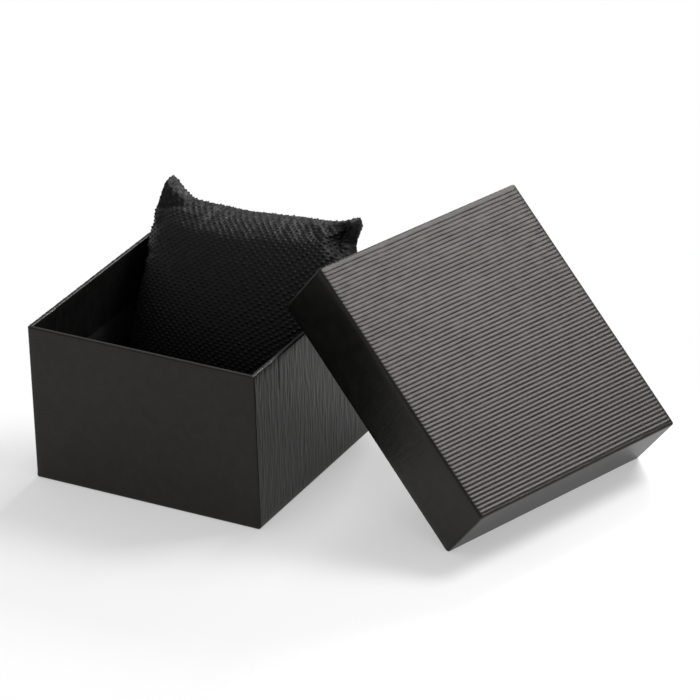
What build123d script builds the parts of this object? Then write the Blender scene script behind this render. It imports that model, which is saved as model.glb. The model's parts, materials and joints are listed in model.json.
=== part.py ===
from build123d import *
import math
import os

# Single watch box: an open base tray, a lid that leans on it and a cushion that stands in it.
# Millimetres. The origin is the centre of the base's underside, +X runs along the front wall,
# +Y runs to the back wall and +Z is up.

# Base tray, outside
BASE_WIDTH = 79.0
BASE_DEPTH = 86.4
BASE_HEIGHT = 51.9

# Wall make-up, the same in the base and the lid
BOARD = 1.2
PAPER = 0.15
WALL = BOARD + 2 * PAPER
CORNER_RADIUS = 1.0
RIM_RADIUS = 0.45
FOLD_RADIUS = 0.5
SHELL_CORNER_INSIDE = 0.3
BUTT_GAP = 0.1
SCORE_WIDTH = 0.25
SCORE_DEPTH = 0.2

# Paper turned in over the rim, and the tapes that hold the board's corners
BASE_TURN_IN = 18.0
LID_TURN_IN = 9.0
TAPE = 0.1
TAPE_LEG = 12.0
TAPE_MARGIN = 4.0

# Lid, outside: it slips over the base with a clearance on every side
CLEARANCE = 0.3
LID_WIDTH = BASE_WIDTH + 2 * (WALL + CLEARANCE)
LID_DEPTH = BASE_DEPTH + 2 * (WALL + CLEARANCE)
LID_HEIGHT = 23.2

# How the lid leans: the rim corner nearest the front stands here, its short side runs along
# the floor at this angle from +X, and its long side climbs at this angle
LID_CORNER_X = 96.5
LID_CORNER_Y = -30.8
LID_TURN = 71.5
LID_TILT = 40.9

# Cushion, as filled, and how it stands in the base
CUSHION_WIDTH = 69.0
CUSHION_HEIGHT = 74.4
CUSHION_WAIST = 66.0
CUSHION_THICKNESS = 39.0
CUSHION_SEAM = 0.8
COVER = 0.7
CUSHION_LEAN = 62.0
CUSHION_X = 0.2
CUSHION_Y = 18.7
CUSHION_Z = 35.3

# Where the cushion's sections stand, as shares of its half width in from a side seam
SECTION_SHARES = (0.0, 0.08, 0.25, 0.5, 1.0)
# The filling ends this many cover thicknesses inside the side seams and inside the tips
SIDE_MARGINS = 2.0
TIP_MARGINS = 1.5
# Least half thickness of a seam, and least bulge of a section past its seam
LEAST_HALF_SEAM = 0.1
LEAST_BULGE = 0.05

# Hand stitches that close the cushion's lower seam, over this share of its width
STITCHES = 14
STITCHED_SHARE = 0.8
STITCH_RADIUS = 0.2
STITCH_LENGTH = 2.4
STITCH_INSET = 1.0

# How far a cutting block runs past the faces that it cuts
OVERSHOOT = 1.0


def block(width, depth, low, high):
    """A box centred on Z between two heights."""
    size = (width, depth, high - low)
    return Pos(0, 0, low) * Box(*size, align=(Align.CENTER, Align.CENTER, Align.MIN))


def rounded_block(width, depth, low, high, radius):
    """A box whose four upright edges are rounded."""
    solid = block(width, depth, low, high)
    return fillet(solid.edges().filter_by(Axis.Z), radius)


def open_tray(inset, width, depth, height, skin):
    """A tray with rounded corners, floor fold and rim, its outer faces moved in by inset.

    skin is the thickness from the outer face to the cavity.
    """
    low, high = inset, height - inset
    outer = rounded_block(
        width - 2 * inset, depth - 2 * inset, low, high, CORNER_RADIUS - inset
    )
    outer = fillet(outer.faces().sort_by(Axis.Z)[0].edges(), FOLD_RADIUS - inset)
    reach = 2 * (inset + skin)
    cavity = rounded_block(
        width - reach, depth - reach, low + skin, high + OVERSHOOT, SHELL_CORNER_INSIDE
    )
    tray = outer - cavity
    rim = tray.faces().sort_by(Axis.Z)[-1]
    return fillet(rim.edges(), RIM_RADIUS - inset)


def corner_tapes(width, depth, height):
    """Four upright tapes, flush in the board's outer corners."""
    outer = rounded_block(
        width - 2 * PAPER,
        depth - 2 * PAPER,
        TAPE_MARGIN,
        height - TAPE_MARGIN,
        CORNER_RADIUS - PAPER,
    )
    reach = 2 * (PAPER + TAPE)
    core = rounded_block(
        width - reach, depth - reach, 0, height, CORNER_RADIUS - PAPER - TAPE
    )
    skin = outer - core
    half_width, half_depth = width / 2 - PAPER, depth / 2 - PAPER
    tapes = {}
    for end, side_y in (("front", -1), ("back", 1)):
        for side, side_x in (("left", -1), ("right", 1)):
            corner = Box(2 * TAPE_LEG, 2 * TAPE_LEG, 2 * height)
            place = Pos(side_x * half_width, side_y * half_depth, 0)
            tapes[f"{end}_{side}"] = skin & (place * corner)
    return tapes


def butt_gaps(width, depth, height):
    """The hairline gaps where the side walls butt against the front and back walls."""
    x = width / 2 - PAPER - BOARD / 2
    y = depth / 2 - PAPER - BOARD - BUTT_GAP / 2
    gap = block(BOARD + 2 * PAPER, BUTT_GAP, PAPER + BOARD, height)
    return [Pos(i * x, j * y, 0) * gap for i in (-1, 1) for j in (-1, 1)]


def score_lines(width, depth):
    """The scored lines on which the blank's four walls fold up."""
    inside = 2 * (PAPER + BOARD)
    low, high = PAPER + BOARD - SCORE_DEPTH, PAPER + BOARD
    ring = block(width - inside, depth - inside, low, high)
    inner = inside + 2 * SCORE_WIDTH
    return ring - block(width - inner, depth - inner, low, high)


def tray_pieces(width, depth, height, turn_in):
    """The pieces of one covered tray: board, corner tapes, outer paper and lining."""
    whole = open_tray(0, width, depth, height, WALL)
    board = open_tray(PAPER, width, depth, height, BOARD)

    inside = 2 * (PAPER + BOARD)
    lining_top = height - turn_in
    lining = rounded_block(
        width - inside,
        depth - inside,
        PAPER + BOARD,
        lining_top,
        SHELL_CORNER_INSIDE,
    )
    cavity = rounded_block(
        width - 2 * WALL, depth - 2 * WALL, WALL, height, SHELL_CORNER_INSIDE
    )
    lining = lining - cavity
    wrap = whole - board - lining

    tapes = corner_tapes(width, depth, height)
    board = board - list(tapes.values())
    board = board - butt_gaps(width, depth, height) - score_lines(width, depth)
    return {"greyboard": board, "wrap": wrap, "lining": lining}, tapes


def lid_place():
    """Where the lid stands: its tray frame's origin is the middle of the top's outer face."""
    turn, tilt = math.radians(LID_TURN), math.radians(LID_TILT)
    along = Vector(math.cos(turn), math.sin(turn), 0)
    level = Vector(-math.sin(turn), math.cos(turn), 0)
    up = Vector(0, 0, 1)
    climb = level * math.cos(tilt) + up * math.sin(tilt)
    outward = along.cross(climb)
    # The rim's rounded edge, not its sharp corner, is what touches the floor.
    drop = RIM_RADIUS * (math.sin(tilt) + math.cos(tilt) - 1)
    corner = Vector(LID_CORNER_X, LID_CORNER_Y, -drop)
    middle = corner + along * (LID_WIDTH / 2) + climb * (LID_DEPTH / 2)
    origin = middle + outward * LID_HEIGHT
    return Plane(origin=origin, x_dir=along, z_dir=-outward).location


def cushion_place():
    """Where the cushion stands: width along X, height leaning back, thickness forwards."""
    lean = math.radians(CUSHION_LEAN)
    forward = Vector(0, -math.sin(lean), math.cos(lean))
    origin = (CUSHION_X, CUSHION_Y, CUSHION_Z)
    return Plane(origin=origin, x_dir=(1, 0, 0), z_dir=forward).location


def lens(x, half_height, half_thickness, half_seam):
    """The cushion's section at x: two arcs that meet in the narrow upper and lower seams."""
    top, low, seam = half_height, -half_height, half_seam
    bulge = max(half_thickness, seam + LEAST_BULGE)
    plane = Plane(origin=(x, 0, 0), x_dir=(0, 1, 0), z_dir=(1, 0, 0))
    front = ThreePointArc((low, seam), (0, bulge), (top, seam))
    back = ThreePointArc((top, -seam), (0, -bulge), (low, -seam))
    edges = front + Line((top, seam), (top, -seam)) + back
    edges += Line((low, -seam), (low, seam))
    return plane * make_face(edges)


def pillow(margin):
    """The filled cushion, or what is inside its cover at a margin from the outer face.

    The crown swells steeply from the side seams, and the upper and lower seams are drawn in
    between the four tips.
    """
    half_width = CUSHION_WIDTH / 2 - SIDE_MARGINS * margin
    shares = [-1 + s for s in SECTION_SHARES]
    shares += [1 - s for s in reversed(SECTION_SHARES[:-1])]
    sections = []
    for share in shares:
        swell = math.sqrt(1 - share * share)
        drawn = (CUSHION_HEIGHT - CUSHION_WAIST) * swell / 2
        half_height = CUSHION_HEIGHT / 2 - drawn - TIP_MARGINS * margin
        half_thickness = max(CUSHION_THICKNESS / 2 * swell, CUSHION_SEAM) - margin
        half_seam = max(CUSHION_SEAM / 2 - margin / 2, LEAST_HALF_SEAM)
        sections.append(lens(share * half_width, half_height, half_thickness, half_seam))
    return loft(sections)


def stitch_bars():
    """The closing stitches, short bars of thread through both panels at the lower seam."""
    bars = []
    pitch = CUSHION_WIDTH * STITCHED_SHARE / (STITCHES - 1)
    for k in range(STITCHES):
        x = (k - (STITCHES - 1) / 2) * pitch
        share = 2 * x / CUSHION_WIDTH
        drawn = (CUSHION_HEIGHT - CUSHION_WAIST) * math.sqrt(1 - share * share) / 2
        y = -CUSHION_HEIGHT / 2 + drawn + STITCH_INSET
        bars.append(Pos(x, y, 0) * Cylinder(STITCH_RADIUS, STITCH_LENGTH))
    return bars


def cushion_pieces():
    """Cover panels, filling and closing stitches, in the cushion's own frame."""
    whole = pillow(0)
    inside = pillow(COVER)
    cover = whole - inside
    reach = 2 * CUSHION_HEIGHT
    ahead = Pos(0, 0, reach / 2) * Box(reach, reach, reach)
    stitches = [bar & whole for bar in stitch_bars()]
    return {
        "cushion_front_panel": (cover & ahead) - stitches,
        "cushion_back_panel": (cover - ahead) - stitches,
        "cushion_filling": inside - stitches,
        "cushion_closing_stitches": Compound([s.solid() for s in stitches]),
    }


def write(shape, node):
    """Writes one node."""
    export_step(shape, f"parts/{node}.step")


def main():
    os.makedirs("parts", exist_ok=True)

    pieces, tapes = tray_pieces(BASE_WIDTH, BASE_DEPTH, BASE_HEIGHT, BASE_TURN_IN)
    for name, shape in pieces.items():
        write(shape, f"base_{name}")
    for corner, shape in tapes.items():
        write(shape, f"base_corner_tape_{corner}")

    place = lid_place()
    pieces, tapes = tray_pieces(LID_WIDTH, LID_DEPTH, LID_HEIGHT, LID_TURN_IN)
    for name, shape in pieces.items():
        write(place * shape, f"lid_{name}")
    for corner, shape in tapes.items():
        write(place * shape, f"lid_corner_tape_{corner}")

    place = cushion_place()
    for name, shape in cushion_pieces().items():
        write(place * shape, name)


main()
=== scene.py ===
"""Single watch box: an open base tray, the lid that leans on it and the stuffed cushion inside.

The trays and the cushion are in millimetres, and their meshes are scaled to metres as they are placed.
Lamps, floor and camera are in metres, and angles that are sizes of something are in degrees.
"""

import json
import logging
import math
from collections.abc import Callable
from dataclasses import dataclass
from enum import Enum

import bmesh
import bpy
from mathutils import Matrix, Vector, noise


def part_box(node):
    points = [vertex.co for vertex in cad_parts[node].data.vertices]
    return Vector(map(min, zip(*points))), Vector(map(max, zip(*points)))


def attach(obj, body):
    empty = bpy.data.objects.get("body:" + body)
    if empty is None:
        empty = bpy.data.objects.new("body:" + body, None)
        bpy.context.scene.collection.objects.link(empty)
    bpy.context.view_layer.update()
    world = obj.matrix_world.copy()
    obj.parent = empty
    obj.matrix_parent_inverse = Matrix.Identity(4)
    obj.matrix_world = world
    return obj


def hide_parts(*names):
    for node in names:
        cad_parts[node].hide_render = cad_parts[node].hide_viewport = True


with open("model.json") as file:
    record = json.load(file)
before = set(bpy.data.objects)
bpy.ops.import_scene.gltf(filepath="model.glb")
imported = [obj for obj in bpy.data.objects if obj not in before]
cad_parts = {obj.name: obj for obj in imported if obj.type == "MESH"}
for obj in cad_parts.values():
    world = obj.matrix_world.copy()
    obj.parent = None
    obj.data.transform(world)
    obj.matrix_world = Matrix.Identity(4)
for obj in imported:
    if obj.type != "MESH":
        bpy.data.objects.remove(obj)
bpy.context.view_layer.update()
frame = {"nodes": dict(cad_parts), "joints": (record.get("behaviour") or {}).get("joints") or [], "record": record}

LOG = logging.getLogger("watch_box")
MM = 0.001
# Points of a tray's paper this close, in millimetres, are in one place.
NEAR = 0.001
X = Vector((1.0, 0.0, 0.0))
Y = Vector((0.0, 1.0, 0.0))
Z = Vector((0.0, 0.0, 1.0))


class Zone(Enum):
    """Where on a tray a row of its paper lies."""

    FACE = "closed face"
    FOLD = "fold between face and wall"
    WALL = "outside of a wall"
    RIM = "over the rim"
    INSIDE = "turned in"


@dataclass(frozen=True)
class Station:
    """One row of the paper, in a section across a wall.

    out is the distance from the tray's middle plane, inset how far in from the wall's outer face,
    height the height over the closed face, level and rise the normal, reach the length of paper.
    """

    zone: Zone
    out: float
    inset: float
    height: float
    level: float
    rise: float
    reach: float


@dataclass(frozen=True)
class Ribs:
    """The paper's embossed ribs, which drift sideways and differ in height along their length.

    pitch is from rib to rib, swell the height over the mean face and rows the rows of points to a rib.
    A rib drifts by wander, over drift_along and drift_across. Its height is about the share steady, off
    by up to unevenness, and changes within break_length. rib_step sets neighbouring ribs apart in the
    noise. streak is the share of broken grain, streak_width wide, in place of regular ribs.
    """

    pitch: float = 1.313
    swell: float = 0.065
    rows: int = 5
    wander: float = 0.1
    drift_along: float = 9.0
    drift_across: float = 7.0
    break_length: float = 1.4
    steady: float = 0.85
    unevenness: float = 0.8
    rib_step: float = 5.3
    streak: float = 0.0
    streak_width: float = 0.5
    seed: float = 3.7
    height_seed: float = 9.0
    grain_seed: float = 4.0

    def height(self, across: float, along: float) -> float:
        """Height of the embossing.

        Args:
            across: length of paper measured across the ribs.
            along: length measured along them.

        Returns:
            The height over the paper's mean face, in millimetres.
        """
        spot = Vector((along / self.drift_along, across / self.drift_across, self.seed))
        turn = (across + self.wander * noise.noise(spot)) / self.pitch
        change = along / self.break_length
        nearest = round(turn) * self.rib_step
        uneven = noise.noise(Vector((change, nearest, self.seed + self.height_seed)))
        rib = math.cos(2 * math.pi * turn) * (self.steady + self.unevenness * uneven)
        grain = noise.noise(Vector((change, across / self.streak_width, self.seed + self.grain_seed)))
        return self.swell * (rib * (1 - self.streak) + 2 * grain * self.streak)


def evenly(start: float, stop: float, steps: int) -> list[float]:
    """Values from start to stop in equal steps, start left out."""
    return [start + (stop - start) * (k + 1) / steps for k in range(steps)]


def smooth_step(low: float, high: float, value: float) -> float:
    """0 below low, 1 above high and smooth between."""
    share = min(max((value - low) / (high - low), 0.0), 1.0)
    return share * share * (3 - 2 * share)


def bell(*offsets: float) -> float:
    """1 where every offset is 0, fading smoothly to 0 as they grow past 1."""
    return math.exp(-sum(offset**2 for offset in offsets))


def finish_mesh(bm: bmesh.types.BMesh, name: str, place: Matrix, sharp: float = 40.0) -> bpy.types.Object:
    """Makes an object at the origin from a mesh in millimetres.

    Args:
        bm: the mesh, which is freed.
        name: the piece's name.
        place: where it goes, in millimetres.
        sharp: the angle in degrees from which an edge is drawn sharp.

    Returns:
        The new object.
    """
    bmesh.ops.transform(bm, matrix=Matrix.Scale(MM, 4) @ place, verts=bm.verts)
    for face in bm.faces:
        face.smooth = True
    mesh = bpy.data.meshes.new(name)
    bm.to_mesh(mesh)
    bm.free()
    mesh.set_sharp_from_angle(angle=math.radians(sharp))
    obj = bpy.data.objects.new(name, mesh)
    bpy.context.scene.collection.objects.link(obj)
    return obj


class Graph:
    """A material's nodes, added one by one. MIDDLE is the range that a noise pattern mostly keeps to."""

    MIDDLE = (0.3, 0.7)

    def __init__(self, name: str) -> None:
        """Starts the material with one Principled shader.

        Args:
            name: the material's name.
        """
        self.material = bpy.data.materials.new(name)
        self.material.use_nodes = True
        self.tree = self.material.node_tree
        self.shader = self.tree.nodes["Principled BSDF"]

    def add(self, kind: str, **values: object) -> bpy.types.Node:
        """Adds a node.

        Args:
            kind: its type, without the word ShaderNode.
            values: what its inputs are set to, by name, with spaces written as underscores.

        Returns:
            The new node.
        """
        node = self.tree.nodes.new("ShaderNode" + kind)
        for key, value in values.items():
            node.inputs[key.replace("_", " ")].default_value = value
        return node

    def link(self, source: bpy.types.NodeSocket, target: bpy.types.NodeSocket) -> None:
        """Joins two sockets."""
        self.tree.links.new(source, target)

    def noise(self, coords: bpy.types.NodeSocket, scale: float) -> bpy.types.NodeSocket:
        """Adds a noise pattern.

        Args:
            coords: the coordinates that it reads.
            scale: how often it changes in a metre.

        Returns:
            The pattern's socket.
        """
        node = self.add("TexNoise", Scale=scale, Detail=3.0)
        self.link(coords, node.inputs["Vector"])
        return node.outputs["Fac"]

    def ranged(self, source: bpy.types.NodeSocket, low: float, high: float) -> bpy.types.NodeSocket:
        """Spreads a pattern's middle range over two values.

        Args:
            source: the pattern.
            low: the value at the middle range's start.
            high: the value at its end.

        Returns:
            The new values' socket.
        """
        start, end = self.MIDDLE
        node = self.add("MapRange", From_Min=start, From_Max=end, To_Min=low, To_Max=high)
        self.link(source, node.inputs["Value"])
        return node.outputs["Result"]

    def blend(self, factor: bpy.types.NodeSocket, first: tuple, second: tuple) -> bpy.types.NodeSocket:
        """Blends two colours by a pattern.

        Args:
            factor: the pattern.
            first: the colour at its middle range's start.
            second: the colour at its end.

        Returns:
            The colour's socket.
        """
        node = self.add("ValToRGB")
        for element, position, colour in zip(node.color_ramp.elements, self.MIDDLE, (first, second)):
            element.position = position
            element.color = (*colour, 1.0)
        self.link(factor, node.inputs["Fac"])
        return node.outputs["Color"]

    def bump(self, height: bpy.types.NodeSocket, depth: float) -> None:
        """Roughens the surface by a pattern.

        Args:
            height: the pattern.
            depth: how deep it goes, in metres.
        """
        node = self.add("Bump", Strength=1.0, Distance=depth)
        self.link(height, node.inputs["Height"])
        self.link(node.outputs["Normal"], self.shader.inputs["Normal"])


@dataclass(frozen=True)
class Paper:
    """A covering paper or board: two close shades, mottled gloss and fibres.

    mottle, wear and fibre are how often the shades, the gloss and the fibres change in a metre. gloss is
    the roughness where it is shiniest and where it is dullest, and fibre_depth is in metres.
    """

    name: str
    dark: tuple
    light: tuple
    gloss: tuple
    mottle: float = 260.0
    wear: float = 65.0
    fibre: float = 2600.0
    fibre_depth: float = 0.000012
    specular: float = 0.5
    tint: tuple = (1.0, 1.0, 1.0)

    def make(self) -> bpy.types.Material:
        """Builds the finish.

        Returns:
            Its material.
        """
        graph = Graph(self.name)
        coords = graph.add("TexCoord").outputs["Object"]
        mottle = graph.noise(coords, self.mottle)
        graph.link(graph.blend(mottle, self.dark, self.light), graph.shader.inputs["Base Color"])
        wear = graph.noise(coords, self.wear)
        graph.link(graph.ranged(wear, *self.gloss), graph.shader.inputs["Roughness"])
        graph.shader.inputs["Specular IOR Level"].default_value = self.specular
        graph.shader.inputs["Specular Tint"].default_value = (*self.tint, 1.0)
        graph.bump(graph.noise(coords, self.fibre), self.fibre_depth)
        return graph.material


@dataclass(frozen=True)
class Cloth:
    """Coarse black cloth: shades that vary by yarn, and twisted fibres.

    slub and fibre are how often the shades and the fibres change in a metre. The roughness goes from
    one value to the other twice as often as the shades, and fibre_depth is in metres.
    """

    name: str
    dark: tuple = (0.0015, 0.0015, 0.0015)
    light: tuple = (0.004, 0.004, 0.004)
    slub: float = 420.0
    fibre: float = 5200.0
    fibre_depth: float = 0.00005
    roughness: tuple = (0.45, 0.7)
    specular: float = 0.2
    sheen: float = 0.01
    sheen_roughness: float = 0.4

    def make(self) -> bpy.types.Material:
        """Builds the finish.

        Returns:
            Its material.
        """
        graph = Graph(self.name)
        coords = graph.add("TexCoord").outputs["Object"]
        slub = graph.noise(coords, self.slub)
        graph.link(graph.blend(slub, self.dark, self.light), graph.shader.inputs["Base Color"])
        wear = graph.noise(coords, 2 * self.slub)
        graph.link(graph.ranged(wear, *self.roughness), graph.shader.inputs["Roughness"])
        graph.shader.inputs["Specular IOR Level"].default_value = self.specular
        graph.shader.inputs["Sheen Weight"].default_value = self.sheen
        graph.shader.inputs["Sheen Roughness"].default_value = self.sheen_roughness
        graph.bump(graph.noise(coords, self.fibre), self.fibre_depth)
        return graph.material


def finishes() -> dict[str, bpy.types.Material]:
    """Makes every material slot's finish.

    Returns:
        The materials by their slots' names.
    """
    warm = (1.0, 0.94, 0.88)
    kinds = [
        Paper(
            "ribbed_black_paper",
            dark=(0.004, 0.004, 0.004),
            light=(0.008, 0.0078, 0.0075),
            gloss=(0.35, 0.365),
            fibre_depth=0.00004,
            specular=0.27,
            tint=warm,
        ),
        Paper(
            "plain_black_paper",
            dark=(0.006, 0.006, 0.006),
            light=(0.012, 0.012, 0.012),
            gloss=(0.5, 0.65),
        ),
        Paper("greyboard", dark=(0.3, 0.28, 0.25), light=(0.45, 0.43, 0.4), gloss=(0.8, 0.95)),
        Paper("corner_tape", dark=(0.48, 0.38, 0.26), light=(0.58, 0.48, 0.35), gloss=(0.6, 0.8)),
        Paper("fibre_filling", dark=(0.75, 0.75, 0.74), light=(0.88, 0.88, 0.87), gloss=(0.9, 1.0)),
        Cloth("black_hopsack_cloth"),
        Cloth("black_thread", light=(0.03, 0.03, 0.03), slub=900.0),
    ]
    return {kind.name: kind.make() for kind in kinds}


def dress(obj: bpy.types.Object, slot: str, body: str, made: dict[str, bpy.types.Material]) -> None:
    """Gives a new piece its finish and its body.

    Args:
        obj: the piece.
        slot: the material slot that it takes its finish from.
        body: the body that it rides on.
        made: the finishes by slot.
    """
    obj.data.materials.clear()
    obj.data.materials.append(made[slot])
    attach(obj, body)
    LOG.info("%s: %d faces on %s", obj.name, len(obj.data.polygons), body)


@dataclass
class Tray:
    """A covered tray's outer paper: one sheet, folded round the board over the rim and turned in.

    In the tray's own frame the closed face lies at height 0 and the walls rise from it. The paper over
    the front and back walls goes round the upright corners and under the cut edges of the side flaps.
    """

    body: str
    width: float
    depth: float
    height: float
    turn_in: float
    place: Matrix
    columns: int
    flap_row: float = 2.2
    wall: float = 1.5
    paper: float = 0.15
    fold: float = 0.8
    rim: float = 0.45
    lap: float = 3.0
    arc_steps: int = 4
    ear: float = 0.0
    ear_depth: float = 13.0
    ear_step: float = 0.1
    ear_soft: float = 0.25
    ear_fade: float = 6.0
    ear_groove: float = 0.26
    groove_width: float = 0.3
    upright: float = 0.9
    wall_relief: float = 0.16
    flap_relief: float = 1.0
    fold_relief: float = 0.15
    ribs: Ribs = Ribs()
    flap_ribs: Ribs = Ribs(swell=0.06, wander=1.6, break_length=2.8, streak=0.95, streak_width=0.65)

    def section(self, half: float, row: float) -> list[Station]:
        """The rows of paper from the middle of the closed face to the turned-in edge.

        Args:
            half: half of the tray's outer size across this section.
            row: how far apart rows on flat stretches are.

        Returns:
            The stations in order.
        """
        flat = half - self.fold
        stations = [Station(Zone.FACE, 0.0, 0.0, 0.0, 0.0, -1.0, 0.0)]
        for out in evenly(0.0, flat, round(flat / row)):
            stations.append(Station(Zone.FACE, out, 0.0, 0.0, 0.0, -1.0, out))
        reach = flat
        for angle in evenly(0.0, math.pi / 2, self.arc_steps):
            level, rise = math.sin(angle), -math.cos(angle)
            out, height = flat + self.fold * level, self.fold * (1 + rise)
            stations.append(Station(Zone.FOLD, out, 0.0, height, level, rise, reach + self.fold * angle))
        reach += self.fold * math.pi / 2
        climb = self.height - self.fold - self.rim
        for step in evenly(0.0, climb, round(climb / row)):
            stations.append(Station(Zone.WALL, half, 0.0, self.fold + step, 1.0, 0.0, reach + step))
        reach += climb
        top = self.height - self.rim
        for angle in evenly(0.0, math.pi / 2, self.arc_steps):
            level, rise = math.cos(angle), math.sin(angle)
            inset = self.rim * (1 - level)
            place = (half - inset, inset, top + self.rim * rise, level, rise, reach + self.rim * angle)
            stations.append(Station(Zone.RIM, *place))
        reach += self.rim * math.pi / 2
        for inset in (self.fold, self.wall - self.rim):
            place = (half - inset, inset, self.height, 0.0, 1.0, reach + inset - self.rim)
            stations.append(Station(Zone.RIM, *place))
        reach += self.wall - 2 * self.rim
        for angle in evenly(0.0, math.pi / 2, self.arc_steps):
            level, rise = -math.sin(angle), math.cos(angle)
            inset = self.wall - self.rim * (1 + level)
            place = (half - inset, inset, top + self.rim * rise, level, rise, reach + self.rim * angle)
            stations.append(Station(Zone.RIM, *place))
        reach += self.rim * math.pi / 2
        fall = self.turn_in - self.rim
        for step in evenly(0.0, fall, round(fall / row)):
            place = (half - self.wall, self.wall, top - step, -1.0, 0.0, reach + step)
            stations.append(Station(Zone.INSIDE, *place))
        return stations

    def mitre(self, half: float, station: Station) -> float:
        """How much narrower the paper is where it lies further in than the corner's fold."""
        return (half - max(self.fold, station.inset)) / (half - self.fold)

    def across(self) -> list[tuple[float, float, float]]:
        """The long sheet's columns: place on the flat, angle round the corner and lap past it."""
        edge = self.width / 2 - self.fold
        right = [(edge * k / self.columns, 0.0, 0.0) for k in range(-self.columns, self.columns + 1, 2)]
        wrap = [(edge, angle, 0.0) for angle in evenly(0.0, math.pi / 2, self.arc_steps)]
        wrap += [(edge, math.pi / 2, self.fold), (edge, math.pi / 2, self.lap)]
        return [(-a, -b, c) for a, b, c in reversed(wrap)] + right + wrap

    def long_point(self, station: Station, side: float, column: tuple) -> tuple[Vector, Vector]:
        """Places a point of the long sheet.

        Args:
            station: the point's row.
            side: -1 on the front half, 1 on the back half.
            column: one of across.

        Returns:
            The point and its outward normal.
        """
        flat, angle, lap = column
        half_depth, edge = self.depth / 2, self.width / 2 - self.fold
        if angle == 0.0:
            normal = side * station.level * Y + station.rise * Z
            width = flat * self.mitre(self.width / 2, station)
            return Vector((width, side * station.out, station.height)), normal
        turn, hand = abs(angle), math.copysign(1.0, angle)
        if station.zone in (Zone.FACE, Zone.FOLD):
            centre = Vector((hand * edge, side * min(station.out, half_depth - self.fold), self.fold))
            start = side * station.level * Y + station.rise * Z
            normal = math.cos(turn) * start + math.sin(turn) * hand * X
            return centre + self.fold * normal, normal
        away = math.cos(turn) * side * Y + math.sin(turn) * hand * X
        centre = Vector((hand * edge, side * (half_depth - self.fold), station.height))
        point = centre + (self.fold - station.inset) * away
        under = self.paper * math.sin(turn) * smooth_step(self.fold, 3 * self.fold, station.height)
        point -= hand * under * X + side * lap * Y
        return point, station.level * away + station.rise * Z

    def sheet(self, bm: bmesh.types.BMesh, columns: list, rows: list, place: Callable[..., tuple]) -> dict:
        """Adds a grid and moves each of its points to its place on the tray.

        Args:
            bm: the mesh.
            columns: what place takes for each column.
            rows: what place takes for each row.
            place: gives point, normal, length across the ribs, along them, and how much relief.

        Returns:
            The vertices by column and row.
        """
        across, up = len(columns) - 1, len(rows) - 1
        new = bmesh.ops.create_grid(bm, x_segments=across, y_segments=up, size=0.5)["verts"]
        outward, pattern = bm.verts.layers.float_vector["outward"], bm.verts.layers.float_vector["pattern"]
        grid = {}
        for vert in new:
            i, j = round((vert.co.x + 0.5) * across), round((vert.co.y + 0.5) * up)
            vert.co, vert[outward], vert[pattern] = place(columns[i], rows[j])
            grid[i, j] = vert
        return grid

    def long_sheet(self, bm: bmesh.types.BMesh, rows: list) -> list[bmesh.types.BMVert]:
        """Adds the sheet over front wall, closed face and back wall.

        Args:
            bm: the mesh.
            rows: each row's station and side.

        Returns:
            The vertices to be joined to others in the same place.
        """
        columns = self.across()
        edge = self.width / 2 - self.fold

        def place(column: tuple, row: tuple) -> tuple[Vector, Vector, Vector]:
            """Places a point of the sheet.

            Args:
                column: its place on the flat, angle and lap.
                row: its station and side.

            Returns:
                The point, its normal, and its lengths across and along the ribs with their relief.
            """
            station, side = row
            flat, angle, lap = column
            point, normal = self.long_point(station, side, column)
            ease = 1.0
            if station.inset > self.fold:
                ease -= smooth_step(edge - self.wall, edge, abs(point.x))
            if lap > 0.0:
                ease = 0.0
            if angle != 0.0:
                ease *= self.fold_relief
            if station.zone is not Zone.FACE:
                ease *= self.wall_relief
            return point, normal, Vector((side * station.reach, flat, ease))

        grid = self.sheet(bm, columns, rows, place)
        drop, join = [], []
        for (i, j), vert in grid.items():
            station = rows[j][0]
            flat, angle, lap = columns[i]
            if angle == 0.0:
                if abs(flat) > edge - NEAR and station.inset == self.fold:
                    join.append(vert)
                continue
            on_face = station.zone in (Zone.FACE, Zone.FOLD)
            if station.inset > self.fold or (lap > 0.0 and on_face):
                drop.append(vert)
            elif station.inset == self.fold or on_face:
                join.append(vert)
        bmesh.ops.delete(bm, geom=drop, context="VERTS")
        return [vert for vert in join if vert.is_valid]

    def side_flap(self, bm: bmesh.types.BMesh, hand: float, columns: list) -> list[bmesh.types.BMVert]:
        """Adds one side wall's flap, from the fold over the rim to its turned-in edge.

        Args:
            bm: the mesh.
            hand: -1 for the left wall, 1 for the right one.
            columns: the closed face's stations and sides, which the flap's columns continue.

        Returns:
            The vertices along the fold, to be joined to the long sheet's.
        """
        half = self.width / 2
        rows = [s for s in self.section(half, self.flap_row) if s.zone not in (Zone.FACE, Zone.FOLD)]
        start = Station(Zone.WALL, half, 0.0, self.fold, 1.0, 0.0, 0.0)

        def place(column: tuple, station: Station) -> tuple[Vector, Vector, Vector]:
            """Places a point of the flap.

            Args:
                column: the closed face's station and side that its column continues.
                station: its row.

            Returns:
                The point, its normal, and its lengths across and along the ribs with their relief.
            """
            face, side = column
            across = side * face.out * self.mitre(self.depth / 2, station)
            point = Vector((hand * station.out, across, station.height))
            ease = self.flap_relief * smooth_step(self.fold, 4 * self.fold, station.height)
            if station.inset > self.fold:
                fade = self.depth / 2 - 2 * self.wall
                ease *= 1.0 - smooth_step(fade, self.depth / 2 - self.wall, abs(across))
            normal = hand * station.level * X + station.rise * Z
            return point, normal, Vector((side * face.out, station.reach, ease))

        grid = self.sheet(bm, columns, [start, *rows], place)
        flap = bm.verts.layers.int["flap"]
        for vert in grid.values():
            vert[flap] = 1
        return [vert for (i, j), vert in grid.items() if j == 0]

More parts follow.
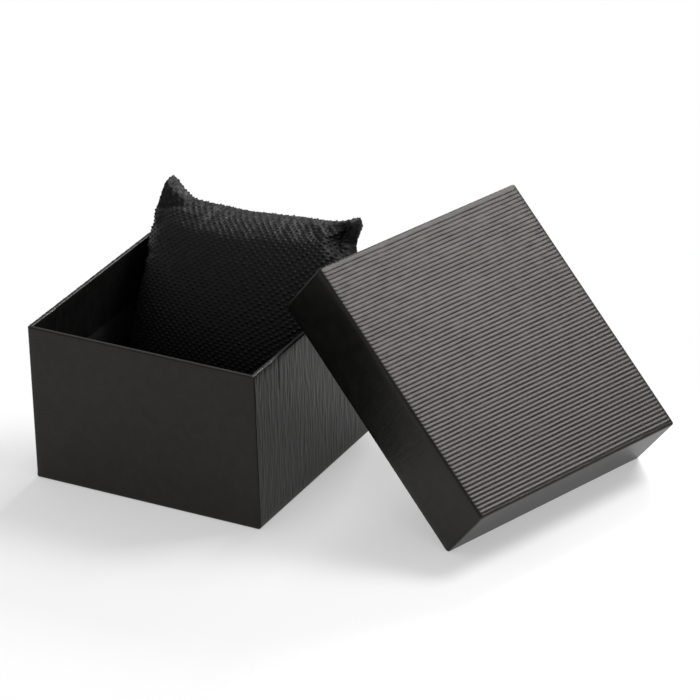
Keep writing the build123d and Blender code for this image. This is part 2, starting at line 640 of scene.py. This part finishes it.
    def emboss(self, bm: bmesh.types.BMesh, verts: list[bmesh.types.BMVert]) -> None:
        """Raises the ribs, and on the right wall the edge of the paper's ear under the flap.

        Args:
            bm: the mesh.
            verts: the outer face's vertices.
        """
        outward, pattern = bm.verts.layers.float_vector["outward"], bm.verts.layers.float_vector["pattern"]
        flap = bm.verts.layers.int["flap"]
        for vert in verts:
            across, along, ease = vert[pattern]
            ribs = self.flap_ribs if vert[flap] else self.ribs
            lift = ribs.height(across, along) * ease
            on_right = self.ear > 0.0 and vert[outward].x > self.upright
            if on_right and abs(vert.co.y) < self.depth / 2 - self.fold:
                lift += self.ear_edge(vert.co)
            vert.co += vert[outward] * lift

    def ear_edge(self, spot: Vector) -> float:
        """Gives the relief of the ear's edge: a step that fades away beyond it, and a groove.

        Args:
            spot: a point on the right wall.

        Returns:
            The height over the wall.
        """
        past = spot.y + self.depth / 2 - self.ear
        low = self.height - self.ear_depth
        step = self.ear_step * smooth_step(-self.ear_soft, self.ear_soft, -past)
        shape = step * bell(past / self.ear_fade) - self.ear_groove * bell(past / self.groove_width)
        return shape * smooth_step(low, low + self.ear_depth / 3, spot.z)

    def wrap(self, name: str) -> bpy.types.Object:
        """Folds the paper, gives it its thickness and embosses it.

        Args:
            name: the piece's name.

        Returns:
            The paper as a thin shell.
        """
        bm = bmesh.new()
        bm.verts.layers.float_vector.new("outward")
        bm.verts.layers.float_vector.new("pattern")
        bm.verts.layers.int.new("flap")
        outward = bm.verts.layers.float_vector["outward"]
        row = self.ribs.pitch / self.ribs.rows
        half = self.section(self.depth / 2, row)
        rows = [(s, -1.0) for s in reversed(half[1:])] + [(s, 1.0) for s in half]
        join = self.long_sheet(bm, rows)
        face = [r for r in rows if r[0].zone is Zone.FACE]
        for hand in (-1.0, 1.0):
            join += self.side_flap(bm, hand, face)
        bmesh.ops.remove_doubles(bm, verts=join, dist=NEAR)
        bmesh.ops.dissolve_degenerate(bm, dist=NEAR / 10, edges=bm.edges[:])
        front = bm.verts[:]
        copy = bmesh.ops.extrude_face_region(bm, geom=bm.faces[:], use_keep_orig=True)["geom"]
        back = [item for item in copy if isinstance(item, bmesh.types.BMVert)]
        back_faces = [item for item in copy if isinstance(item, bmesh.types.BMFace)]
        for vert in back:
            vert.co -= vert[outward] * self.paper * 0.8
        self.emboss(bm, front)
        self.merge_flat(bm, back_faces)
        bmesh.ops.recalc_face_normals(bm, faces=bm.faces[:])
        return finish_mesh(bm, name, self.place)

    @staticmethod
    def merge_flat(bm: bmesh.types.BMesh, faces: list[bmesh.types.BMFace]) -> None:
        """Joins the hidden back's small faces into one on each plane."""
        planes = {}
        for face in faces:
            face.normal_update()
            key = (*(round(c, 2) for c in face.normal), round(face.normal.dot(face.verts[0].co), 2))
            planes.setdefault(key, []).append(face)
        for group in planes.values():
            if len(group) > 8:
                bmesh.ops.dissolve_faces(bm, faces=group, use_verts=False)

    def build(self, made: dict[str, bpy.types.Material]) -> None:
        """Makes the outer paper, which stands for the tray's wrap.

        Args:
            made: the finishes by slot.
        """
        wrap = self.wrap(f"{self.body}_outer_paper")
        dress(wrap, "ribbed_black_paper", self.body, made)
        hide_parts(f"{self.body}_wrap")


@dataclass
class Cushion:
    """The stuffed cushion: two panels of coarse cloth, sewn at the sides, swollen by their filling."""

    width: float = 67.6
    bulge: float = 2.6
    tips: float = 74.4
    drawn_in: float = 4.1
    drop_start: tuple = (-1.02, -0.68)
    drop_end: float = 1.15
    thickness: float = 35.0
    seam: float = 0.7
    lean: float = 62.0
    middle: tuple = (0.1, 18.9, 35.0)
    across: int = 64
    up: int = 70
    right_tip_drop: float = 1.3
    notch: float = 1.2
    notch_height: float = 0.78
    notch_spread: float = 0.12
    tip_reach: float = 3.0
    tip_spread: float = 6.0
    round_from: float = 0.92
    ear: float = 7.5
    ear_spread: int = 7
    ear_edge: int = 36
    tuck: float = 3.0
    tuck_at: tuple = (0.9, 0.88)
    tuck_width: float = 0.035
    tuck_height: float = 0.06
    swelling: float = 10.0
    moments: int = 20
    cap: float = 3.0
    room: tuple = ((-37.3, -30.0, 2.2), (37.3, 41.0, 90.0))
    cell: float = 1.06
    yarn: float = 0.6
    under: float = 0.15
    wander: float = 0.35
    wander_length: float = 6.0
    plain_edge: float = 0.93
    stitch_inset: float = 1.05
    seed: float = 11.3

    @property
    def place(self) -> Matrix:
        """The cushion's own frame: x across, y up the lean and z forwards."""
        lean = math.radians(self.lean)
        up = Vector((0.0, math.cos(lean), math.sin(lean)))
        forward = Vector((0.0, -math.sin(lean), math.cos(lean)))
        turn = Matrix((X, up, forward)).transposed().to_4x4()
        return Matrix.Translation(Vector(self.middle)) @ turn

    def rounded(self, share: float, other: float) -> float:
        """A share of half a side, drawn in towards the corner so that the outline turns round there."""
        start, room = self.round_from, 1 - self.round_from
        past, beside = (max(0.0, (abs(s) - start) / room) for s in (share, other))
        if past == 0.0:
            return share
        return math.copysign(start + room * past * math.sqrt(1 - beside * beside / 2), share)

    def crown(self, u: float, w: float, side: float) -> Vector:
        """Gives a panel's point before the filling swells it.

        Args:
            u: its share of half the width, from the middle to the right.
            w: its share of half the height, from the middle up.
            side: 1 on the front panel, -1 on the back one, 0 midway in the seam.

        Returns:
            The point in the cushion's own frame.
        """
        corner = abs(u * w) ** self.tip_spread if w > 0 else 0.0
        notch = -self.notch * w * w
        if u > 0:
            notch = self.notch * bell((w - self.notch_height) / self.notch_spread)
        x = self.rounded(u, w) * (self.width / 2 + self.bulge * (1 - w * w) - notch)
        drop = smooth_step(*self.drop_start, u) * min(1.0, max(0.0, 1 - u) / self.drop_end) ** 0.7
        y = self.rounded(w, u) * (self.tips / 2 - self.drawn_in * drop) + self.tip_reach * corner
        rise = (max(1 - u * u, 0.0) ** 0.5) * (max(1 - w * w, 0.0) ** 0.55)
        edge = self.ear_edge
        blunt = self.ear * abs(u * w) ** self.ear_spread * (1 - abs(u) ** edge) * (1 - abs(w) ** edge)
        beside, above = self.tuck_at
        tuck = bell((u - beside) / self.tuck_width, (w - above) / self.tuck_height)
        z = self.seam / 2 + (self.thickness / 2 - self.seam / 2) * rise + blunt - self.tuck * tuck
        if u > 0 and w > 0:
            y -= self.right_tip_drop * smooth_step(0.3, 1.0, u) * smooth_step(0.5, 1.0, w)
        return Vector((x, y, side * max(z, self.seam / 2)))

    def panels(self) -> bmesh.types.BMesh:
        """Both panels, joined round their edge, with a map that follows the cloth."""
        bm = bmesh.new()
        weave = bm.loops.layers.uv.new("weave")
        edge = []
        for side in (1.0, -1.0):
            before = set(bm.faces)
            new = bmesh.ops.create_grid(bm, x_segments=self.across, y_segments=self.up, size=1.0)["verts"]
            faces = [f for f in bm.faces if f not in before]
            for face in faces:
                for loop in face.loops:
                    flat = loop.vert.co
                    up = flat.y * self.tips / 20 + 4 + 8 * (side < 0)
                    loop[weave].uv = (flat.x * self.width / 20 + 4, up)
            rim = [v for v in new if v.is_boundary]
            if side < 0:
                bmesh.ops.reverse_faces(bm, faces=faces)
            for vert in new:
                u, w = vert.co.x, vert.co.y
                vert.co = self.crown(u, w, side)
            edge.append(rim)
        bridged = [e for rim in edge for e in {e for v in rim for e in v.link_edges if e.is_boundary}]
        bmesh.ops.bridge_loops(bm, edges=bridged)
        bmesh.ops.recalc_face_normals(bm, faces=bm.faces[:])
        return bm

    def swell(self, start: bpy.types.Object) -> None:
        """Blows the cover up a little by a cloth simulation, within a cap, and keeps the result.

        Args:
            start: the cover, swelling times its real size.
        """
        rest = [v.co.copy() for v in start.data.vertices]
        cover = start.modifiers.new("cover", "CLOTH")
        cover.settings.quality = 6
        cover.settings.mass = 0.3
        cover.settings.tension_stiffness = 12
        cover.settings.compression_stiffness = 12
        cover.settings.shear_stiffness = 4
        cover.settings.bending_stiffness = 0.3
        cover.settings.use_pressure = True
        cover.settings.uniform_pressure_force = 4
        cover.settings.shrink_min = -0.07
        pins = start.vertex_groups.new(name="seam")
        edge = (self.seam / 2 + 0.02) * self.swelling * MM
        pins.add([v.index for v in start.data.vertices if abs(v.co.z) < edge], 1.0, "REPLACE")
        cover.settings.vertex_group_mass = pins.name
        cover.settings.effector_weights.gravity = 0
        cover.point_cache.frame_start = 1
        cover.point_cache.frame_end = self.moments
        for moment in range(1, self.moments + 1):
            bpy.context.scene.frame_set(moment)
        shaped = start.evaluated_get(bpy.context.evaluated_depsgraph_get()).to_mesh()
        places = [v.co.copy() for v in shaped.vertices]
        start.modifiers.remove(cover)
        bpy.context.scene.frame_set(1)
        cap = self.cap * self.swelling * MM
        for vert, was, now in zip(start.data.vertices, rest, places):
            move = now - was
            vert.co = was + move * min(1.0, cap / max(move.length, 1e-9))

    def cover(self) -> bpy.types.Object:
        """Makes the cover before its weave: both panels, simulated and smoothed.

        Returns:
            The object, in the cushion's own frame and as large as the simulation needs.
        """
        bm = self.panels()
        rough = finish_mesh(bm, "cushion_rough", Matrix.Scale(self.swelling, 4), 180.0)
        self.swell(rough)
        smooth = rough.modifiers.new("smooth", "SUBSURF")
        smooth.levels = 2
        smooth.render_levels = 2
        mesh = bpy.data.meshes.new_from_object(rough.evaluated_get(bpy.context.evaluated_depsgraph_get()))
        bpy.data.objects.remove(rough)
        obj = bpy.data.objects.new("cushion_cover", mesh)
        bpy.context.scene.collection.objects.link(obj)
        return obj

    def weave_height(self, u: float, v: float) -> float:
        """Height of a plain weave, whose warp shows in every other cell.

        Args:
            u: cloth length across the warp, in millimetres.
            v: cloth length along it.

        Returns:
            The height over the cloth's middle, in millimetres.
        """
        spot = Vector((u / self.wander_length, v / self.wander_length, self.seed))
        u += self.wander * noise.noise(spot)
        v += self.wander * noise.noise(spot + 7.0 * Z)
        column, row = math.floor(u / self.cell), math.floor(v / self.cell)
        a, b = u / self.cell - column - 0.5, v / self.cell - row - 0.5
        over = 1.0 if (column + row) % 2 == 0 else self.under
        bump = (math.cos(math.pi * a) * math.cos(math.pi * b)) ** 1.3
        slub = 0.8 + 0.6 * noise.noise(Vector((column * 0.71, row * 0.71, self.seed)))
        return self.yarn * over * bump * slub

    def weave(self, obj: bpy.types.Object) -> None:
        """Sets the cover in place, held inside the base, and lays its yarns.

        Args:
            obj: the cover.
        """
        mesh = obj.data
        bm = bmesh.new()
        bm.from_mesh(mesh)
        layer = bm.loops.layers.uv["weave"]
        bmesh.ops.scale(bm, vec=Vector((1, 1, 1)) / (MM * self.swelling), verts=bm.verts)
        bmesh.ops.transform(bm, matrix=self.place, verts=bm.verts)
        low, high = Vector(self.room[0]), Vector(self.room[1])
        for vert in bm.verts:
            vert.co = Vector([min(max(c, a), b) for c, a, b in zip(vert.co, low, high)])
        bm.normal_update()
        lifts = {}
        for vert in bm.verts:
            flat = vert.link_loops[0][layer].uv
            share = abs(flat.x * 20 - 80) / self.width
            ease = 1 - 0.4 * smooth_step(self.plain_edge, self.plain_edge + 0.05, share)
            lifts[vert] = vert.normal * self.weave_height(flat.x * 10.0, flat.y * 10.0) * ease
        for vert, lift in lifts.items():
            vert.co += lift
        bmesh.ops.scale(bm, vec=Vector((MM, MM, MM)), verts=bm.verts)
        for face in bm.faces:
            face.smooth = True
        bm.to_mesh(mesh)
        bm.free()

    def seam_point(self, u: float) -> Vector:
        """A stitch's middle, in place: just inside the lower seam, so that its thread hugs the edge."""
        return self.place @ (self.crown(u, -1.0, 0.0) + self.stitch_inset * Y)

    def stitches(self, count: int = 14, share: float = 0.8, thread: float = 0.22) -> bpy.types.Object:
        """Makes the closing stitches: loops of thread over the lower seam.

        Args:
            count: how many there are.
            share: the share of the seam that they close.
            thread: the thread's radius.

        Returns:
            The stitches as one object.
        """
        reach = Vector((0.0, 0.0, 1.1))
        bm = bmesh.new()
        for k in range(count):
            centre = self.seam_point(share * (2 * k / (count - 1) - 1))
            loop = bmesh.ops.create_circle(bm, cap_ends=True, segments=8, radius=thread)
            turn = Matrix.Translation(centre + reach) @ Matrix.Rotation(math.pi / 2, 4, "X")
            bmesh.ops.transform(bm, matrix=turn, verts=loop["verts"])
            cap = list(loop["verts"][0].link_faces)
            bmesh.ops.spin(
                bm, geom=cap, cent=centre, axis=X, dvec=(0.0, 0.0, 0.0), angle=math.radians(330), steps=16
            )
        bmesh.ops.recalc_face_normals(bm, faces=bm.faces[:])
        return finish_mesh(bm, "cushion_stitch_thread", Matrix.Identity(4))

    def build(self, made: dict[str, bpy.types.Material]) -> None:
        """Makes the cover and its closing stitches."""
        cover = self.cover()
        self.weave(cover)
        dress(cover, "black_hopsack_cloth", "cushion", made)
        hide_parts("cushion_front_panel", "cushion_back_panel", "cushion_filling")
        thread = self.stitches()
        dress(thread, "black_thread", "cushion", made)
        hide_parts("cushion_closing_stitches")


def dress_nodes(made: dict[str, bpy.types.Material]) -> None:
    """Gives every carried-over node the finish of its slot."""
    for part in frame["record"]["subparts"]:
        node = frame["nodes"][part["node"]]
        node.data.materials.clear()
        node.data.materials.append(made[part["material_slot"]])


@dataclass(frozen=True)
class Lamp:
    """A square soft light, in metres and watts, that faces the box."""

    name: str
    power: float
    size: float
    way: tuple
    distance: float

    def hang(self, aim: Vector) -> None:
        """Hangs the light along its way from a point, facing it.

        Args:
            aim: the point, in metres.
        """
        lamp = bpy.data.lights.new(self.name, "AREA")
        lamp.shape = "SQUARE"
        lamp.size = self.size
        lamp.energy = self.power
        obj = bpy.data.objects.new(self.name, lamp)
        way = Vector(self.way).normalized()
        turn = way.to_track_quat("Z", "Y").to_matrix().to_4x4()
        obj.matrix_world = Matrix.Translation(aim + way * self.distance) @ turn
        bpy.context.scene.collection.objects.link(obj)


@dataclass(frozen=True)
class Studio:
    """The pale floor, the soft light and the camera."""

    floor_size: float = 6.0
    floor_shade: float = 0.94
    floor_white: float = 0.4
    fade_way: tuple = (-0.487, 0.873, 0.0)
    fade_start: float = -0.012
    fade_end: float = 0.03
    sky: float = 0.56
    key: Lamp = Lamp("key", power=2.8, size=0.18, way=(-0.1, 0.82, 0.56), distance=0.8)
    sheen: Lamp = Lamp("sheen", power=3.9, size=0.26, way=(0.43, 0.478, 0.766), distance=0.73)
    aim: tuple = (0.045, 0.01, 0.035)
    eye: tuple = (0.66154, -1.09828, 0.68415)
    yaw: float = 29.17
    pitch: float = 27.01
    roll: float = 1.87
    lens: float = 239.45

    def floor(self) -> None:
        """Lays the floor, which turns into a plain white backdrop behind the box."""
        bm = bmesh.new()
        bmesh.ops.create_grid(bm, x_segments=4, y_segments=4, size=self.floor_size / 2 / MM)
        obj = finish_mesh(bm, "studio_floor", Matrix.Translation((0.0, 0.0, -0.05)))
        graph = Graph("studio_floor")
        graph.shader.inputs["Base Color"].default_value = (*[self.floor_shade] * 3, 1.0)
        graph.shader.inputs["Roughness"].default_value = 0.9
        graph.shader.inputs["Specular IOR Level"].default_value = 0.1
        coords = graph.add("TexCoord").outputs["Object"]
        split = graph.add("VectorMath")
        split.operation = "DOT_PRODUCT"
        split.inputs[1].default_value = self.fade_way
        graph.link(coords, split.inputs[0])
        far = graph.add("MapRange")
        far.interpolation_type = "SMOOTHSTEP"
        far.inputs["From Min"].default_value = self.fade_start
        far.inputs["From Max"].default_value = self.fade_end
        far.inputs["To Min"].default_value = self.floor_white
        graph.link(split.outputs["Value"], far.inputs["Value"])
        share = graph.add("Math")
        share.operation = "MULTIPLY"
        graph.link(far.outputs["Result"], share.inputs[0])
        graph.link(self.seen(graph), share.inputs[1])
        white = graph.add("Emission", Strength=1.0)
        mix = graph.add("MixShader")
        graph.link(share.outputs["Value"], mix.inputs["Fac"])
        graph.link(graph.shader.outputs["BSDF"], mix.inputs[1])
        graph.link(white.outputs["Emission"], mix.inputs[2])
        output = graph.tree.nodes["Material Output"]
        graph.link(mix.outputs["Shader"], output.inputs["Surface"])
        obj.data.materials.append(graph.material)

    @staticmethod
    def seen(graph: Graph) -> bpy.types.NodeSocket:
        """Tells rays from the camera, a mirror or glass from all others.

        Args:
            graph: the material's nodes.

        Returns:
            The socket that is 1 for those rays, else 0.
        """
        path = graph.add("LightPath")
        total = path.outputs["Is Camera Ray"]
        for kind in ("Is Glossy Ray", "Is Transmission Ray"):
            node = graph.add("Math")
            node.operation = "MAXIMUM"
            graph.link(total, node.inputs[0])
            graph.link(path.outputs[kind], node.inputs[1])
            total = node.outputs["Value"]
        return total

    def lights(self) -> None:
        """Hangs the two lamps and sets the even light of the room."""
        for lamp in (self.key, self.sheen):
            lamp.hang(Vector(self.aim))
        world = bpy.data.worlds.new("room")
        world.use_nodes = True
        bpy.context.scene.world = world
        tree = world.node_tree
        even = tree.nodes["Background"]
        even.inputs["Color"].default_value = (1.0, 1.0, 1.0, 1.0)
        even.inputs["Strength"].default_value = self.sky
        white = tree.nodes.new("ShaderNodeBackground")
        white.inputs["Color"].default_value = (1.0, 1.0, 1.0, 1.0)
        path = tree.nodes.new("ShaderNodeLightPath")
        mix = tree.nodes.new("ShaderNodeMixShader")
        tree.links.new(path.outputs["Is Camera Ray"], mix.inputs["Fac"])
        tree.links.new(even.outputs["Background"], mix.inputs[1])
        tree.links.new(white.outputs["Background"], mix.inputs[2])
        tree.links.new(mix.outputs["Shader"], tree.nodes["World Output"].inputs["Surface"])

    def camera(self) -> None:
        """Sets the camera at the photograph's place and angle."""
        yaw, pitch, roll = (math.radians(a) for a in (self.yaw, self.pitch, self.roll))
        flat = math.cos(pitch)
        ahead = Vector((-math.sin(yaw) * flat, math.cos(yaw) * flat, -math.sin(pitch)))
        level = Vector((math.cos(yaw), math.sin(yaw), 0.0))
        down = ahead.cross(level)
        right = math.cos(roll) * level + math.sin(roll) * down
        below = -math.sin(roll) * level + math.cos(roll) * down
        data = bpy.data.cameras.new("photo_view")
        data.lens = self.lens
        data.sensor_width = 36.0
        data.clip_start = 0.01
        obj = bpy.data.objects.new("photo_view", data)
        turn = Matrix((right, -below, -ahead)).transposed().to_4x4()
        obj.matrix_world = Matrix.Translation(Vector(self.eye)) @ turn
        bpy.context.scene.collection.objects.link(obj)
        bpy.context.scene.camera = obj

    def build(self) -> None:
        """Sets up floor, lights, camera and colour."""
        bpy.context.scene.view_settings.view_transform = "Standard"
        self.floor()
        self.lights()
        self.camera()


def base_tray() -> Tray:
    """Makes the base, sized by its node's box.

    Returns:
        The base.
    """
    low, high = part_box("base_wrap")
    size = (high - low) / MM
    place = Matrix.Identity(4)
    return Tray("base", size.x, size.y, size.z, turn_in=18.0, place=place, columns=44, ear=14.8)


def leaning_lid(base: Tray, clearance: float = 0.3, height: float = 23.2) -> Tray:
    """Makes the lid, which slips over the base, and leans as its joint's direction says.

    Args:
        base: the base tray.
        clearance: the room between base and lid on each side.
        height: how deep the lid is.

    Returns:
        The lid, with its near corner standing on the floor.
    """
    joint = next(j for j in frame["joints"] if j["name"] == "lid_lift")
    outward = Vector(joint["axis"]).normalized()
    along = Z.cross(outward).normalized()
    climb = outward.cross(along)
    width = base.width + 2 * (base.wall + clearance)
    depth = base.depth + 2 * (base.wall + clearance)
    drop = base.rim * (climb.z + math.sqrt(1 - climb.z**2) - 1)
    corner = Vector((96.5, -30.8, -drop))
    middle = corner + along * width / 2 + climb * depth / 2 + outward * height
    turn = Matrix((along, -climb, -outward)).transposed().to_4x4()
    place = Matrix.Translation(middle) @ turn
    return Tray("lid", width, depth, height, turn_in=9.0, place=place, columns=88, flap_relief=0.35)


def main() -> None:
    """Builds the stage, the trays and the cushion."""
    logging.basicConfig(level=logging.INFO)
    Studio().build()
    made = finishes()
    dress_nodes(made)
    base = base_tray()
    base.build(made)
    leaning_lid(base).build(made)
    Cushion().build(made)


if __name__ == "__main__":
    main()
